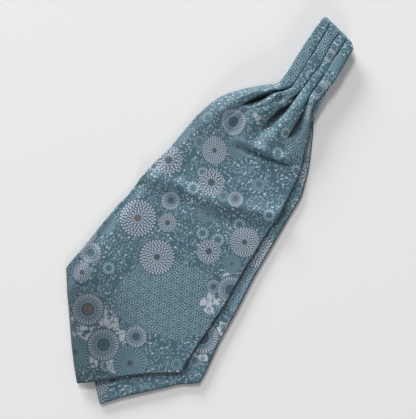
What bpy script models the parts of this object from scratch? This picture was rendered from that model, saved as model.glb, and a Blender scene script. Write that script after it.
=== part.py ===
"""Silk cravat (day cravat, ascot), folded at its neckband and laid flat, one blade on the other.

Frame: +Y runs along the cravat from the blade tips to the top fold of the neckband, +X across it,
+Z up from the surface it lies on. The origin is the middle of the footprint, on the surface.
Lengths below are in millimetres and become metres as each mesh is made.
"""

import math

import bmesh
import bpy
import numpy as np

MM = 0.001

# ---------------------------------------------------------------- sizes
PLY = 1.0  # one ply: printed silk with its light interlining
GAP = 0.35  # clearance between cloths that lie on each other
AIR = 0.7  # how far the face of a blade stands off its lining
BAND = 3.0  # one stretch of the pleated neckband, pressed
SEAM_Y = 143.0  # where the blades end and the pleated band starts
LINING_TOP_Y = 137.0  # where the linings end, under the gathers
FOLD_LOW = 6.4  # top of the lower of the two top folds
FOLD_HIGH = 13.45  # top of the upper one, without its pleats
TIP_LIFT = 4.5  # the top blade's point stands off what it lies on

# Side edges of the two halves: a row for each station along Y.
FRONT_EDGES = [  # y, left x, right x
    (-220, -87.4, 66.7),
    (-150, -87.4, 66.7),
    (-131, -87.4, 65.1),
    (-101, -85.2, 64.7),
    (-71, -83.0, 64.0),
    (-49, -80.8, 61.9),
    (-35, -78.2, 60.7),
    (-17, -77.9, 59.6),
    (8, -74.8, 58.0),
    (28, -71.0, 57.9),
    (50, -69.0, 55.4),
    (66, -67.4, 53.3),
    (82, -64.0, 49.6),
    (97, -58.6, 43.6),
    (109, -50.8, 38.6),
    (121, -40.4, 32.8),
    (132, -29.4, 27.0),
    (138, -21.6, 24.4),
    (143, -18.4, 23.7),
    (158, -18.1, 24.2),
    (172, -19.0, 26.0),
    (189, -19.7, 25.1),
    (208, -19.8, 23.2),
    (216, -19.6, 20.4),
    (224, -19.4, 18.6),
]
BACK_EDGES = [  # y, left x, right x
    (-224, -68.0, 87.4),
    (-150, -68.0, 87.4),
    (-102, -67.0, 80.5),
    (-68, -66.0, 77.0),
    (-28, -64.0, 71.8),
    (12, -61.0, 68.7),
    (39, -58.0, 66.6),
    (58, -55.5, 65.2),
    (81, -49.0, 58.3),
    (97, -42.0, 51.1),
    (118, -29.0, 39.7),
    (135, -18.5, 30.2),
    (145, -15.2, 28.3),
    (153, -14.8, 27.6),
    (168, -14.4, 25.8),
    (200, -14.2, 23.6),
    (219, -13.8, 19.6),
]
# Pointed ends: a row for each corner or bend along the cut edge.
FRONT_END = [  # x, y
    (-87.4, -131.0),
    (-72.7, -150.0),
    (-59.0, -166.9),
    (-40.0, -189.8),
    (-23.5, -208.1),
    (-12.6, -219.0),
    (0.4, -207.6),
    (18.7, -189.3),
    (39.7, -171.0),
    (65.3, -152.6),
    (66.7, -150.0),
]
BACK_END = [  # x, y
    (-68.0, -146.5),
    (-44.0, -167.0),
    (-20.0, -189.0),
    (2.0, -209.0),
    (15.8, -221.7),
    (18.5, -223.0),
    (31.5, -205.8),
    (50.6, -185.1),
    (70.3, -163.4),
    (87.4, -149.5),
]
# Pleat lines of the band, as shares of the width from the left edge.
PLEATS = (0.245, 0.53, 0.755)
# Where those lines run as they open into the gathers.
PLEAT_PATH = [  # y, share of line A, of line B, of line C
    (95, 0.170, 0.500, 0.795),
    (113, 0.205, 0.545, 0.785),
    (128, 0.230, 0.556, 0.790),
    (143, 0.260, 0.540, 0.780),
    (156, 0.245, 0.510, 0.730),
    (200, 0.240, 0.515, 0.720),
    (224, 0.262, 0.540, 0.745),
]
# How deep the fold at each line is, and how full the cloth between the lines stands.
FOLDS = [  # y, depth of A, of B, of C, fullness
    (60, 0.0, 0.0, 0.0, 0.0),
    (84, 0.0, 0.2, 0.0, 0.6),
    (98, 0.3, 1.3, 0.6, 1.3),
    (108, 2.2, 2.2, 2.6, 1.8),
    (120, 3.8, 2.8, 3.3, 2.3),
    (132, 3.6, 3.2, 3.0, 2.2),
    (143, 1.6, 1.7, 1.6, 0.9),
    (152, 1.1, 1.1, 1.1, 0.3),
    (224, 1.0, 1.0, 1.0, 0.25),
]
# Columns across and rows along the cloth grids, as shares.
COLUMNS = (
    0, 0.018, 0.07, 0.13, 0.185, 0.225, 0.241, 0.249, 0.29, 0.36, 0.43, 0.4854, 0.526,
    0.534, 0.575, 0.63, 0.69, 0.733, 0.751, 0.759, 0.8, 0.86, 0.93, 0.982, 1,
)
ROWS = (
    0, 0.008, 0.08, 0.18, 0.28, 0.38, 0.46, 0.52, 0.575, 0.62, 0.665, 0.705, 0.74,
    0.765, 0.785, 0.805, 0.83, 0.86, 0.885, 0.91, 0.935, 0.955, 0.978, 1,
)
BACK_COLUMNS = (0, 0.018, 0.11, 0.22, 0.33, 0.45, 0.5566, 0.66, 0.77, 0.88, 0.982, 1)
BACK_ROWS = (0, 0.008, 0.1, 0.22, 0.34, 0.46, 0.58, 0.68, 0.76, 0.82, 0.88, 0.93, 0.97, 1)


# ---------------------------------------------------------------- small functions
def clamp(x, low=0.0, high=1.0):
    return min(max(x, low), high)


def ease(x, start, end):
    """0 before start, 1 after end, smooth between (start may be above end)."""
    k = clamp((x - start) / (end - start))
    return k * k * (3 - 2 * k)


def mix(a, b, k):
    return a + (b - a) * k


def through(table, at, column):
    """A smooth curve through one column of a table, read at a value of its first column."""
    keys = [row[0] for row in table]
    values = [row[column] for row in table]
    at = clamp(at, keys[0], keys[-1])
    i = clamp(int(np.searchsorted(keys, at, "right")) - 1, 0, len(keys) - 2)
    step = keys[i + 1] - keys[i]
    k = (at - keys[i]) / step

    def slope(j):
        if j == 0 or j == len(keys) - 1:
            return 0.0
        before = (values[j] - values[j - 1]) / (keys[j] - keys[j - 1])
        after = (values[j + 1] - values[j]) / (keys[j + 1] - keys[j])
        return 0.0 if before * after <= 0 else 2 * before * after / (before + after)

    a, b = slope(i) * step, slope(i + 1) * step
    return (
        values[i] * (2 * k**3 - 3 * k**2 + 1)
        + a * (k**3 - 2 * k**2 + k)
        + values[i + 1] * (3 * k**2 - 2 * k**3)
        + b * (k**3 - k**2)
    )


def end_y(table, x):
    return float(np.interp(x, [r[0] for r in table], [r[1] for r in table]))


def across(edges, share, y):
    return mix(through(edges, y, 1), through(edges, y, 2), share)


def along(end, share, row, rows):
    """Y of a grid point: columns run up from the pointed end. The last row but one is where
    the lining ends, and the last one is the seam with the band."""
    low = end_y(end, mix(end[0][0], end[-1][0], share))
    if row > rows[-2]:
        return mix(LINING_TOP_Y, SEAM_Y, (row - rows[-2]) / (1 - rows[-2]))
    return mix(low, LINING_TOP_Y, row / rows[-2])


# ---------------------------------------------------------------- what lies under the front blade
FOLD_MIDDLE = [(72, 10.4), (110, 10.2), (135, 9.3), (150, 7.3), (168, 5.4), (190, 4.4), (212, 3.4)]


def fold_middle(y):
    """Centre line of the neckband that is folded back under the blade."""
    return through(FOLD_MIDDLE, y, 1)


FOLD_HALF = 20.3  # half the width of that band
FOLD_END_Y, FOLD_END_SLOPE = 83.0, 0.2  # its lower fold, a little askew
FOLD_THICK = 6.55  # two stretches of band


def fold_floor(y):
    return mix(PLY * 2 + GAP * 2 + 0.05, BAND + GAP, ease(y, 92, 138))


def front_floor(x, y):
    """The lowest the front blade's lining may lie: surface, back blade or folded band."""
    left, right = through(BACK_EDGES, y, 1), through(BACK_EDGES, y, 2)
    beyond_end = y - end_y(BACK_END, clamp(x, BACK_END[0][0], BACK_END[-1][0]))
    on_back = (
        ease(x - left, -13, -3) * ease(right - x, -13, -3) * ease(beyond_end, -20, -5)
    )
    low = mix(GAP, PLY * 2 + GAP * 2 + 0.02, on_back)
    middle = fold_middle(y)
    on_fold = (
        ease(x - (middle - FOLD_HALF), -24, -4)
        * ease((middle + FOLD_HALF) - x, -20, -4)
        * ease(y - FOLD_END_Y - FOLD_END_SLOPE * (x - middle), -15, -4)
    )
    high = fold_floor(y) + FOLD_THICK + GAP
    lift = TIP_LIFT * ease(math.hypot(x + 13.1, y + 219.4), 80, 0)
    return mix(low, high, on_fold) + lift


def strips(share, y):
    """Which pleat a point is on, and how far across it."""
    lines = [0.0] + list(PLEATS) + [1.0]
    for k in range(4):
        if share <= lines[k + 1] or k == 3:
            return k, clamp((share - lines[k]) / (lines[k + 1] - lines[k]))


def line_share(k, y):
    """The share of the width at which line k lies at y; 0 and 4 are the side edges."""
    if k == 0:
        return 0.0
    if k == 4:
        return 1.0
    return mix(PLEATS[k - 1], through(PLEAT_PATH, y, k), ease(y, 60, 100))


def pleated_share(share, y):
    k, w = strips(share, y)
    return mix(line_share(k, y), line_share(k + 1, y), w)


def relief(share, y):
    """Height of the pleats and gathers over the plain cloth: each strip stands up at its
    left fold and dips under the next one at its right."""
    k, w = strips(share, y)
    own = through(FOLDS, y, k) if k else 0.0
    following = through(FOLDS, y, k + 1) if k < 3 else 0.0
    full = through(FOLDS, y, 4)
    rise = 0.42 * own * (1 - w) ** 2
    dip = -0.62 * following * w ** mix(5, 2.2, ease(y, 150, 118))
    return rise + dip + full * math.sin(math.pi * w) ** 0.8


def crease(x, y):
    """A soft ridge and the trough below it, across the middle of the blade."""
    off = y - (17.5 + 0.39 * x)
    return 1.7 * math.exp(-((off / 8.5) ** 2)) - 0.6 * math.exp(-(((off + 17) / 7.5) ** 2))


def rim_drop(share, row):
    """How far a face cloth turns down at its edge."""
    side = min(share, 1 - share)
    return max(ease(side, 0.018, 0.0), ease(row, 0.008, 0.0))


# ---------------------------------------------------------------- the cloths, as outer and inner surfaces
def front_face(share, row, inner):
    y = along(FRONT_END, share, row, ROWS)
    x = across(FRONT_EDGES, pleated_share(share, y), y)
    side = min(share, 1 - share)
    rest = front_floor(x, y) + (PLY + GAP if row <= ROWS[-2] else 0.0)
    stands = AIR * ease(side, 0, 0.1) * ease(row, 0, 0.05)
    plain = mix(rest + stands + PLY, FOLD_HIGH, ease(y, 118, SEAM_Y))
    top = plain + relief(share, y) + crease(x, y) * ease(side, 0, 0.06)
    thick = mix(PLY, BAND + 0.15, ease(y, 128, SEAM_Y))
    bottom = max(top - thick, rest)
    top = max(top, bottom + PLY * 0.9)
    turned = rim_drop(share, row) * (PLY + GAP) * ease(y, SEAM_Y, LINING_TOP_Y - 6)
    return x, y, (bottom if inner else top) - turned


def front_lining(share, row, inner):
    """Lies under the face cloth on the same grid, one column and row in from its edges."""
    y = along(FRONT_END, share, row, ROWS)
    x = across(FRONT_EDGES, pleated_share(share, y), y)
    z = front_floor(x, y)
    return x, y, z if inner else z + PLY


def back_upper(share, row, inner):
    """The lining side of the lower blade, which faces up."""
    y = along(BACK_END, share, row, BACK_ROWS)
    x = across(BACK_EDGES, share, y)
    top = mix(PLY * 2 + GAP, BAND, ease(y, 110, SEAM_Y))
    bottom = PLY + GAP if row <= BACK_ROWS[-2] else 0.0
    turned = rim_drop(share, row) * (PLY + GAP)
    return x, y, (max(bottom - turned, 0.0) if inner else top - turned * ease(y, SEAM_Y, 130))


def back_lower(share, row, inner):
    """The outer cloth of the lower blade, flat on the surface."""
    y = along(BACK_END, share, row, BACK_ROWS)
    return across(BACK_EDGES, share, y), y, 0.0 if inner else PLY


def top_edge(share):
    """Y of the top fold: askew, with its right corner rounded off."""
    return 223.0 - 7.9 * share - 4.6 * clamp((share - 0.9) / 0.1) ** 2


def over_fold(y_from, y_top, row, straight, radius, inner_radius, inner):
    """Along a stretch of band and round its fold: y and the height from the fold's centre."""
    if row <= straight:
        return mix(y_from, y_top - radius, row / straight), (inner_radius if inner else radius)
    turn = math.pi * (row - straight) / (1 - straight)
    r = inner_radius if inner else radius
    return y_top - radius + r * math.sin(turn), r * math.cos(turn)


STRAIGHT = 0.6  # share of the rows before the fold


def front_band(share, row, inner):
    radius = (FOLD_HIGH - FOLD_LOW - GAP) / 2
    centre = FOLD_HIGH - radius
    y_plain = mix(SEAM_Y + GAP, top_edge(share), min(row / STRAIGHT, 1.0))
    wave = relief(share, y_plain) * mix(1.0, 0.35, ease(row, STRAIGHT, 1.0))
    y, up = over_fold(
        SEAM_Y + GAP, top_edge(share), row, STRAIGHT, radius, 0.2, inner
    )
    x = across(FRONT_EDGES, pleated_share(share, y_plain), min(y_plain, y + 3))
    if inner:
        return x, y, centre + up
    if row <= STRAIGHT:
        return x, y, centre + up + wave
    turn = math.pi * (row - STRAIGHT) / (1 - STRAIGHT)
    grow = max(wave, -0.4) * math.cos(turn / 2)
    return x, y + grow * math.sin(turn) * 0.3, centre + up + grow * math.cos(turn)


def back_band(share, row, inner):
    radius = FOLD_LOW / 2
    y_plain = mix(SEAM_Y + GAP, top_edge(share) - 3.0, min(row / STRAIGHT, 1.0))
    y, up = over_fold(
        SEAM_Y + GAP, top_edge(share) - 3.0, row, STRAIGHT, radius, 0.2, inner
    )
    return across(BACK_EDGES, share, min(y_plain, 219)), y, radius - up


# ---------------------------------------------------------------- meshes
def material(name, colour, roughness):
    made = bpy.data.materials.new(name + "_silk")
    made.use_nodes = True
    bsdf = made.node_tree.nodes["Principled BSDF"]
    bsdf.inputs["Base Color"].default_value = (*colour, 1)
    bsdf.inputs["Roughness"].default_value = roughness
    bsdf.inputs["Metallic"].default_value = 0.0
    bsdf.inputs["Sheen Weight"].default_value = 0.25
    made.diffuse_color = (*colour, 1)
    return made


def add(name, bm, colour, roughness):
    bmesh.ops.recalc_face_normals(bm, faces=bm.faces)
    mesh = bpy.data.meshes.new(name)
    bm.to_mesh(mesh)
    bm.free()
    mesh.materials.append(material(name, colour, roughness))
    mesh.shade_smooth()
    mesh.set_sharp_from_angle(angle=math.radians(50))
    made = bpy.data.objects.new(name, mesh)
    cravat.objects.link(made)
    return made


def cloth(name, place, columns, rows, colour, roughness):
    """A grid laid out by place(share, row, inner) and extruded to its wall."""
    bm = bmesh.new()
    bmesh.ops.create_grid(
        bm, x_segments=len(columns) - 1, y_segments=len(rows) - 1, size=0.5
    )
    bmesh.ops.triangulate(bm, faces=bm.faces[:], quad_method="FIXED")

    def cell(v):
        return (
            round((v.co.x + 0.5) * (len(columns) - 1)),
            round((v.co.y + 0.5) * (len(rows) - 1)),
        )

    outer = {v: cell(v) for v in bm.verts}
    made = bmesh.ops.extrude_face_region(bm, geom=bm.faces[:], use_keep_orig=True)
    inner = {
        v: cell(v) for v in made["geom"] if isinstance(v, bmesh.types.BMVert)
    }
    for group, is_inner in ((outer, False), (inner, True)):
        for v, (i, j) in group.items():
            x, y, z = place(columns[i], rows[j], is_inner)
            v.co = (x * MM, y * MM, z * MM)
    return add(name, bm, colour, roughness)


def fold_ring(y, squeeze, low):
    """Section of the folded band: two stretches lying on each other, so a groove runs along
    each edge between them. squeeze draws it in towards its middle height at the lower fold."""
    half, h = FOLD_HALF - 2.2 * (1 - squeeze), FOLD_THICK
    profile = [  # share of the half width, height
        (-0.93, 0.0), (0.93, 0.0), (1.0, 0.9), (1.0, 2.3), (0.95, h / 2), (1.0, h - 2.3),
        (1.0, h - 0.9), (0.93, h), (-0.93, h), (-1.0, h - 0.9), (-1.0, h - 2.3),
        (-0.95, h / 2), (-1.0, 2.3), (-1.0, 0.9),
    ]
    ring = []
    for across_share, height in profile:
        x = fold_middle(y) + half * across_share
        tilt = FOLD_END_SLOPE * (x - fold_middle(y)) * low
        slant = -0.2145 * (x - fold_middle(y)) * (1 - low)
        z = fold_floor(y) + h / 2 + (height - h / 2) * squeeze
        ring.append((x * MM, (y + tilt + slant) * MM, z * MM))
    return ring


def folded_band(name, colour, roughness):
    """Loft through the sections, from the lower fold up to the top one."""
    h = FOLD_THICK / 2
    sections = []
    for turn in (75, 50, 25, 0):
        reach = h * math.sin(math.radians(turn))
        sections.append((FOLD_END_Y + h - reach, math.cos(math.radians(turn))))
    sections += [(y, 1.0) for y in (100, 118, 136, 165, 190, 207.6)]
    bm = bmesh.new()
    rings = []
    for y, squeeze in sections:
        low = ease(y, 190, 110)
        rings.append([bm.verts.new(p) for p in fold_ring(y, squeeze, low)])
    for below, above in zip(rings, rings[1:]):
        for i in range(len(below)):
            j = (i + 1) % len(below)
            bm.faces.new((below[i], below[j], above[j], above[i]))
    for ring in (rings[0], rings[-1]):  # each end cap runs across between the two edges
        bottom, top = ring[0:2], ring[7:9]
        bm.faces.new((ring[1], ring[2], ring[3], ring[4], ring[5], ring[6], ring[7]))
        bm.faces.new((ring[8], ring[9], ring[10], ring[11], ring[12], ring[13], ring[0]))
        bm.faces.new((bottom[0], bottom[1], top[0], top[1]))
    return add(name, bm, colour, roughness)


# ---------------------------------------------------------------- the cravat
for old in list(bpy.data.objects):
    bpy.data.objects.remove(old)
cravat = bpy.data.collections.new("silk_cravat")
bpy.context.scene.collection.children.link(cravat)

FACE = ((0.105, 0.165, 0.205), 0.55)
LINING = ((0.095, 0.150, 0.190), 0.60)
PLEATED = ((0.120, 0.185, 0.225), 0.55)
BAND_ROWS = (0, 0.1, 0.22, 0.36, 0.5, 0.6, 0.68, 0.76, 0.84, 0.92, 1)

cloth("front_blade_face", front_face, COLUMNS, ROWS, *FACE)
cloth("front_blade_lining", front_lining, COLUMNS[1:-1], ROWS[1:-1], *LINING)
cloth("front_neckband", front_band, COLUMNS, BAND_ROWS, *PLEATED)
folded_band("neckband_fold", *PLEATED)
cloth("back_neckband", back_band, BACK_COLUMNS, BAND_ROWS, *PLEATED)
cloth("back_blade_lining", back_upper, BACK_COLUMNS, BACK_ROWS, *LINING)
cloth("back_blade_face", back_lower, BACK_COLUMNS[1:-1], BACK_ROWS[1:-1], *FACE)
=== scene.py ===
import math

import bmesh
import bpy
import numpy as np
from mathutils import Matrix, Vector


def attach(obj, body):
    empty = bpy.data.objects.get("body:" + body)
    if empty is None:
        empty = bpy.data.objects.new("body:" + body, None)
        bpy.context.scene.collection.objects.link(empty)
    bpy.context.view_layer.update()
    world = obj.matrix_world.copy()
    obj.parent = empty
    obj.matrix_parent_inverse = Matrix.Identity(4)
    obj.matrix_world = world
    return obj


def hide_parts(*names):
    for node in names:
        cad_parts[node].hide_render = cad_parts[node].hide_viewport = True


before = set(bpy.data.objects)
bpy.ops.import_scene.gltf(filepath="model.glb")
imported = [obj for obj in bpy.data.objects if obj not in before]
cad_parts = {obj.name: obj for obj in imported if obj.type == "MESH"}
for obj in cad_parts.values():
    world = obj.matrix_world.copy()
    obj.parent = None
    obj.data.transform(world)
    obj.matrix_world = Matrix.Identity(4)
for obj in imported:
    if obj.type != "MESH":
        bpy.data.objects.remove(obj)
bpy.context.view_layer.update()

MM = 0.001
RNG = np.random.default_rng(11)


# ------------------------------------------------------------------ small functions
def clip01(x):
    return np.clip(x, 0.0, 1.0)


def ease(x, start, end):
    """0 before start, 1 after end, smooth between; start may be above end."""
    k = clip01((np.asarray(x, float) - start) / (end - start))
    return k * k * (3 - 2 * k)


def mix(a, b, k):
    return a + (b - a) * k


def curve(table, at, column=1):
    """Smooth curve through one column of a table, read at values of its first column."""
    keys = np.array([r[0] for r in table], float)
    vals = np.array([r[column] for r in table], float)
    at = np.clip(np.asarray(at, float), keys[0], keys[-1])
    step = np.diff(keys)
    rise = np.diff(vals) / step
    slope = np.zeros(len(keys))
    a, b = rise[:-1], rise[1:]
    same = a * b > 0
    slope[1:-1][same] = 2 * a[same] * b[same] / (a[same] + b[same])
    i = np.clip(np.searchsorted(keys, at, "right") - 1, 0, len(keys) - 2)
    k = (at - keys[i]) / step[i]
    return (
        vals[i] * (2 * k**3 - 3 * k**2 + 1)
        + slope[i] * step[i] * (k**3 - 2 * k**2 + k)
        + vals[i + 1] * (3 * k**2 - 2 * k**3)
        + slope[i + 1] * step[i] * (k**3 - k**2)
    )


def line(table, at, column=1):
    return np.interp(at, [r[0] for r in table], [r[column] for r in table])


def bump(x, width):
    return np.exp(-((x / width) ** 2))


def soft_max(a, b, r):
    """The larger of two heights, with a rounded corner of size r between them."""
    h = clip01(0.5 + 0.5 * (a - b) / r)
    return mix(b, a, h) + r * h * (1 - h)


class Drift:
    """Smooth random unevenness over the cloth: a few seeded waves."""

    def __init__(self, size, count=9):
        angle = RNG.uniform(0, math.tau, count)
        length = size * RNG.uniform(0.7, 1.5, count)
        self.kx, self.ky = math.tau * np.cos(angle) / length, math.tau * np.sin(angle) / length
        self.phase = RNG.uniform(0, math.tau, count)

    def __call__(self, x, y):
        waves = np.sin(
            self.kx * np.asarray(x)[..., None] + self.ky * np.asarray(y)[..., None] + self.phase
        )
        return waves.sum(-1) / math.sqrt(len(self.phase))


# ------------------------------------------------------------------ the cravat's outlines, in mm
FRONT_EDGES = [  # y, left x, right x
    (-220, -87.4, 66.7), (-150, -87.4, 66.7), (-131, -87.4, 65.1), (-101, -85.2, 64.7),
    (-71, -83.0, 64.0), (-49, -80.8, 61.9), (-35, -78.2, 60.7), (-17, -77.9, 59.6),
    (8, -74.8, 58.0), (28, -71.0, 57.9), (50, -69.0, 55.4), (66, -67.4, 53.3),
    (82, -64.0, 49.6), (97, -58.6, 43.6), (109, -50.8, 38.6), (121, -40.4, 32.8),
    (132, -29.4, 27.0), (138, -21.6, 24.4), (143, -18.4, 23.7), (158, -18.1, 24.2),
    (172, -19.0, 26.0), (189, -19.7, 25.1), (208, -19.8, 23.2), (216, -19.6, 20.4),
    (224, -19.4, 18.6),
]
BACK_EDGES = [  # y, left x, right x
    (-224, -68.0, 87.4), (-150, -68.0, 87.4), (-102, -67.0, 80.5), (-68, -66.0, 77.0),
    (-28, -64.0, 71.8), (12, -61.0, 68.7), (39, -58.0, 66.6), (58, -55.5, 65.2),
    (81, -49.0, 58.3), (97, -42.0, 51.1), (118, -29.0, 39.7), (135, -18.5, 30.2),
    (145, -15.2, 28.3), (153, -14.8, 27.6), (168, -14.4, 25.8), (200, -14.2, 23.6),
    (219, -13.8, 19.6),
]
FRONT_END = [  # x, y
    (-87.4, -131.0), (-72.7, -150.0), (-59.0, -166.9), (-40.0, -189.8), (-23.5, -208.1),
    (-12.6, -219.0), (0.4, -207.6), (18.7, -189.3), (39.7, -171.0), (65.3, -152.6), (66.7, -150.0),
]
BACK_END = [  # x, y
    (-68.0, -146.5), (-44.0, -167.0), (-20.0, -189.0), (2.0, -209.0), (15.8, -221.7),
    (18.5, -223.0), (31.5, -205.8), (50.6, -185.1), (70.3, -163.4), (87.4, -149.5),
]
FOLD_MIDDLE = [(72, 10.4), (110, 10.2), (135, 9.3), (150, 7.3), (168, 5.4), (190, 4.4), (212, 3.4)]
FOLD_HALF = 20.3
FOLD_TOPS = [(138, 6.7), (158, 9.9)]  # y, top of the hidden neckband, flatter under the gathers
FOLD_LEVELS = [(84, 10.4), (118, 11.0), (130, 12.2), (146, 13.9)]  # y, front cloth over it
NOSE_CENTRE, NOSE_RADIUS = 10.1, 3.35

# Pleat and gather lines: where they run, how far each stays folded over, how deep it is.
LINES = [  # y, A x, B x, C x
    (78, -38.5, -5.5, 22.4),
    (90, -38.5, -3.4, 21.6),
    (100, -36.8, -2.0, 20.2),
    (106, -32.4, -1.0, 18.9),
    (113, -26.4, 0.4, 17.2),
    (121, -20.7, 2.0, 16.4),
    (130, -17.4, 2.9, 15.9),
    (138, -9.4, 3.3, 16.0),
    (146, -5.2, 4.4, 15.4),
    (160, -5.3, 5.0, 14.8),
    (175, -6.0, 5.6, 14.3),
    (190, -7.0, 4.5, 13.8),
    (205, -8.1, 3.1, 13.3),
    (224, -8.6, 2.8, 12.9),
]
FOLDED = [  # y, how much each line is still a folded pleat: A, B, C
    (112, 0.0, 0.0, 0.0),
    (122, 0.10, 0.0, 0.05),
    (130, 0.45, 0.15, 0.20),
    (138, 0.75, 0.55, 0.60),
    (147, 1.0, 1.0, 1.0),
]
VALLEYS = [  # y, depth below the cloth between: A, B, C
    (66, 0.0, 0.0, 0.0),
    (80, 0.2, 1.2, 0.0),
    (90, 0.4, 2.3, 0.0),
    (98, 0.8, 3.0, 0.2),
    (103, 1.6, 3.2, 1.6),
    (107, 3.6, 3.0, 7.0),
    (113, 7.0, 2.8, 12.5),
    (121, 13.0, 3.0, 13.5),
    (126, 7.5, 5.6, 13.0),
    (131, 1.8, 10.0, 11.5),
    (138, 2.0, 9.5, 8.5),
    (144, 2.0, 4.4, 4.8),
    (149, 1.8, 2.4, 3.0),
    (156, 1.0, 1.0, 1.0),
]
CROWNS = [  # y, fullness of the cloth on strips 1 to 4
    (54, 0.0, 0.0, 0.0, 0.0),
    (68, 0.3, 0.3, 1.0, 0.2),
    (80, 0.9, 1.2, 3.2, 0.5),
    (92, 1.5, 2.8, 5.2, 0.9),
    (104, 3.2, 4.4, 6.4, 1.5),
    (114, 4.8, 5.4, 6.8, 2.0),
    (124, 5.2, 5.6, 6.4, 2.4),
    (133, 2.8, 4.2, 5.2, 2.0),
    (142, 1.2, 2.0, 3.0, 1.0),
    (152, 0.35, 0.35, 0.40, 0.3),
    (224, 0.25, 0.25, 0.25, 0.25),
]
SECTIONS = [  # share of the strip, its height there on strips 1 to 4, and on 2 next to the band
    (0.00, 0.10, 0.00, 0.00, 0.00, 0.00),
    (0.06, 0.30, 0.46, 0.18, 0.10, 0.46),
    (0.13, 0.58, 0.70, 0.50, 0.26, 0.72),
    (0.30, 0.95, 0.96, 0.98, 0.70, 0.90),
    (0.50, 1.00, 0.98, 1.00, 0.96, 0.88),
    (0.70, 0.86, 0.62, 0.95, 1.00, 1.00),
    (0.88, 0.45, 0.18, 0.84, 0.72, 0.90),
    (0.95, 0.18, 0.06, 0.66, 0.45, 0.66),
    (1.00, 0.00, 0.00, 0.00, 0.20, 0.00),
]
WIDTHS = [  # y, how far each valley reaches to its left and right: A, A, B, B, C, C
    (80, 9.0, 6.0, 9.0, 7.0, 4.0, 5.0),
    (100, 9.0, 6.0, 7.5, 5.0, 2.4, 5.4),
    (112, 7.4, 3.4, 6.0, 3.6, 1.6, 5.6),
    (121, 5.6, 1.6, 4.2, 2.4, 1.5, 5.0),
    (131, 2.2, 1.5, 1.1, 1.4, 1.5, 3.6),
    (142, 1.8, 1.4, 1.0, 1.3, 1.5, 2.2),
    (150, 1.5, 1.4, 1.2, 1.3, 1.4, 1.6),
]
SHARES = (0.0, 0.20, 0.52, 0.76, 1.0)  # where the lines and edges lie across the cloth
LEANS = [  # y, how far the cloth leans out over each valley: A, B from the right, C from the left
    (98, 0.0, 0.0, 0.0),
    (104, 0.6, 0.0, 1.2),
    (113, 1.7, 0.1, 3.0),
    (121, 2.4, 0.4, 3.2),
    (131, 1.6, 1.3, 2.7),
    (142, 0.8, 0.9, 1.2),
    (150, 0.0, 0.0, 0.0),
]
FILLS = [  # places where the cloth closes a valley again: x, y, reach, height
    (-19.5, 130.5, 4.2, 2.3),
]
UNDER = 7.5  # depth of a pleat's hidden fold
PLEAT_FOLD = [  # share of the way, x in depths, x in mm, height below the band's top
    (0.00, 0.0, 0.0, 2.2), (0.14, 0.4, 0.0, 2.3), (0.28, 0.8, 0.0, 2.4), (0.38, 1.0, 0.0, 2.4),
    (0.44, 1.0, 0.5, 1.8), (0.50, 1.0, 0.0, 1.2), (0.62, 0.6, 0.0, 1.1), (0.76, 0.25, 0.0, 1.05),
    (0.84, 0.0, 0.15, 1.0), (0.90, 0.0, -0.25, 0.6), (0.95, 0.0, -0.12, 0.15), (1.00, 0.0, 0.35, -0.08),
]
STRIP_SPANS = ((0.0, 0.13), (0.27, 0.46), (0.58, 0.70), (0.82, 1.0))


def fold_place(x, y):
    """How far a point is over the hidden neckband, 0 to 1. The cloth drops over the band's
    end in a short step, and more gently beside it."""
    mid = curve(FOLD_MIDDLE, y)
    left = ease(x - (mid - FOLD_HALF), -23, 0)
    right = ease((mid + FOLD_HALF) - x, -15, 2)
    beside = np.maximum(ease(x, -14, -30), ease(x, 33, 46))
    past = y - curve(STEP, x)
    low = ease(past, mix(-0.8, -6, beside), mix(4.5, 12, beside))
    return left * right * low


def cloth_floor(x, y):
    """The lowest that the front cloth may lie, over the linings and the hidden neckband."""
    mid = curve(FOLD_MIDDLE, y)
    beside = np.maximum((mid - FOLD_HALF) - x, x - (mid + FOLD_HALF))
    on_band = ease(beside, 2.6, 0.6) * ease(y - 0.2 * (x - mid), 80.5, 83.5)
    under = mix(2.0, 4.4, on_back(x, y))
    return mix(under, line(FOLD_TOPS, y) + mix(1.4, 0.95, ease(y, 128, 134)), on_band)


def on_back(x, y):
    left, right = curve(BACK_EDGES, y, 1), curve(BACK_EDGES, y, 2)
    past = y - line(BACK_END, np.clip(x, -68, 87.4))
    return ease(x - left, -12, -2) * ease(right - x, -12, -2) * ease(past, -18, -4)


RIDGE = [(-90, -15), (-65, -7), (-50, -2.5), (-35, 3.5), (-20, 3.5), (-5, 7.5), (10, 11.5), (25, 19.5), (40, 25), (55, 33), (70, 41)]
TROUGH = [(-90, -24), (-65, -18), (-50, -17.5), (-35, -15), (-20, -7), (-5, -4), (10, -3.5), (25, 1), (40, 9), (55, 19), (70, 27)]
STEP = [(-32, 62.5), (-14.4, 67.9), (-3.3, 69.5), (9.6, 72.6), (22.7, 75.6), (34.1, 79.5), (50, 86)]

slow, middling, quick = Drift(95), Drift(42), Drift(17)


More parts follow.
